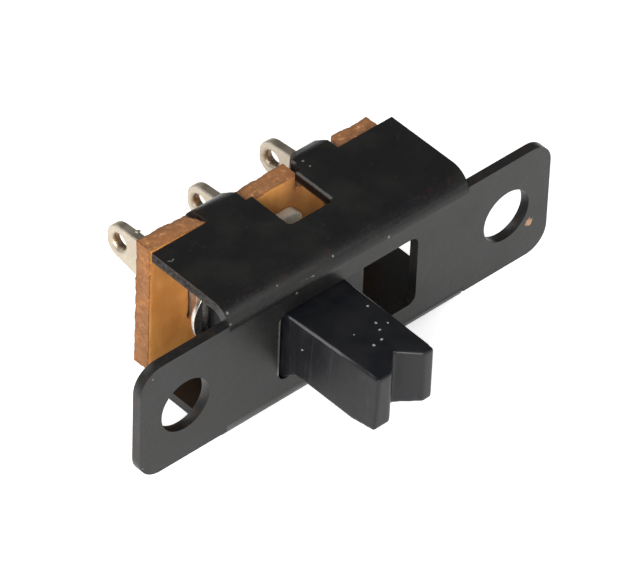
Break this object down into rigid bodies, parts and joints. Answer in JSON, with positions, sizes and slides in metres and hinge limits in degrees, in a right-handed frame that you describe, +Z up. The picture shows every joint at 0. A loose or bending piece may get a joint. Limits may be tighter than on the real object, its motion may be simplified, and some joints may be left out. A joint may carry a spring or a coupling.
{
  "type": "slide switch",
  "caption": "Small panel-mount slide switch with a folded black steel frame, a grooved black knob and solder lugs.",
  "frame": {"origin": "on the front face of the mounting plate, midway between the two fixing holes", "axes": "+X along the plate from the left ear to the right ear, +Y from the panel face to the solder lugs, +Z up with the switch lying on one long side wall"},
  "size_m": [0.0242, 0.0164, 0.0078],
  "materials": {
    "black_steel": "satin black",
    "laminate": "matt brown",
    "tinned_brass": "dull tin plating",
    "black_moulding": "semi-gloss black",
    "contact_metal": "bright silver plating",
    "spring_steel": "bright wire"
  },
  "bodies": {
    "housing": {"frame": "black_steel", "terminal_board": "laminate", "terminal_left": "tinned_brass", "terminal_common": "tinned_brass", "terminal_right": "tinned_brass"},
    "slider": {"slider": "black_moulding", "moving_contact": "contact_metal", "contact_spring": "spring_steel"}
  },
  "joints": [
    {"name": "knob_slide", "type": "slide", "parent": "housing", "child": "slider", "axis": [1, 0, 0], "range_m": [0, 0.00406]}
  ]
}
